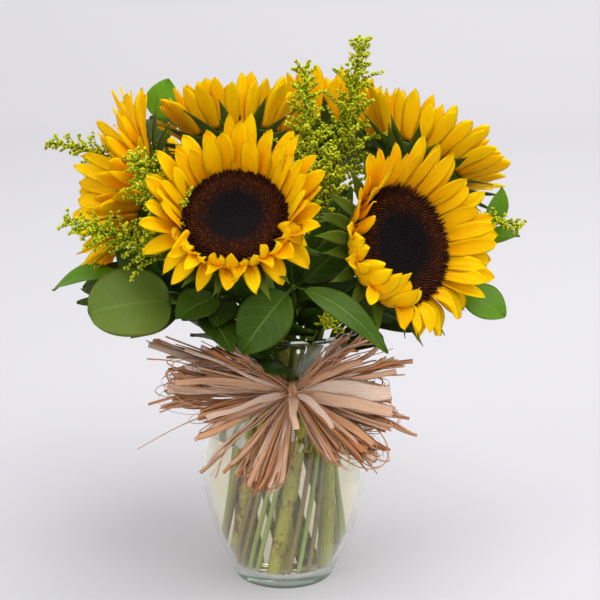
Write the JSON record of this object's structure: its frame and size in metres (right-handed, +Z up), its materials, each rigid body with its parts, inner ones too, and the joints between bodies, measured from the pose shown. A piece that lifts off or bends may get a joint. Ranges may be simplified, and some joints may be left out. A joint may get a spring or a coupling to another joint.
{
  "type": "sunflowers in a vase",
  "caption": "Round bouquet of sunflowers with goldenrod and lemon leaf in a clear glass vase of water, tied with a raffia bow.",
  "frame": {"origin": "centre of the vase's flat foot, on the surface that it stands on", "axes": "+Z up the vase's axis; the viewer and the raffia bow are on the -Y side, +X is to the viewer's right"},
  "size_m": [0.3673, 0.3274, 0.4211],
  "materials": {
    "clear_glass": "clear glass, polished, faintly green where it is thick",
    "water": "clear still water",
    "sunflower_petal": "soft satin petal, golden yellow, orange towards its root",
    "sunflower_disc": "matte, velvety florets, near black in the middle and dark red-brown outside",
    "sunflower_green": "matte, finely hairy green stem, head and bracts",
    "goldenrod": "matte yellow-green buds on green twigs",
    "lemon_leaf": "leathery leaf, satin, with a paler midrib",
    "raffia": "dry natural raffia strands, matte with a slight sheen"
  },
  "bodies": {
    "root": {"glass_vase": "clear_glass", "water": "water", "sunflower_1_stem": "sunflower_green", "sunflower_1_petals": "sunflower_petal", "sunflower_1_disc": "sunflower_disc", "sunflower_2_stem": "sunflower_green", "sunflower_2_petals": "sunflower_petal", "sunflower_2_disc": "sunflower_disc", "sunflower_3_stem": "sunflower_green", "sunflower_3_petals": "sunflower_petal", "sunflower_3_disc": "sunflower_disc", "sunflower_4_stem": "sunflower_green", "sunflower_4_petals": "sunflower_petal", "sunflower_4_disc": "sunflower_disc", "sunflower_5_stem": "sunflower_green", "sunflower_5_petals": "sunflower_petal", "sunflower_5_disc": "sunflower_disc", "sunflower_6_stem": "sunflower_green", "sunflower_6_petals": "sunflower_petal", "sunflower_6_disc": "sunflower_disc", "sunflower_7_stem": "sunflower_green", "sunflower_7_petals": "sunflower_petal", "sunflower_7_disc": "sunflower_disc", "goldenrod_1": "goldenrod", "goldenrod_2": "goldenrod", "goldenrod_3": "goldenrod", "goldenrod_4": "goldenrod", "goldenrod_5": "goldenrod", "goldenrod_6": "goldenrod", "goldenrod_7": "goldenrod", "goldenrod_8": "goldenrod", "goldenrod_9": "goldenrod", "lemon_leaf_1": "lemon_leaf", "lemon_leaf_2": "lemon_leaf", "lemon_leaf_3": "lemon_leaf", "lemon_leaf_4": "lemon_leaf", "lemon_leaf_5": "lemon_leaf", "lemon_leaf_6": "lemon_leaf", "lemon_leaf_7": "lemon_leaf", "lemon_leaf_8": "lemon_leaf", "raffia_band": "raffia", "raffia_bow": "raffia"}
  },
  "joints": []
}
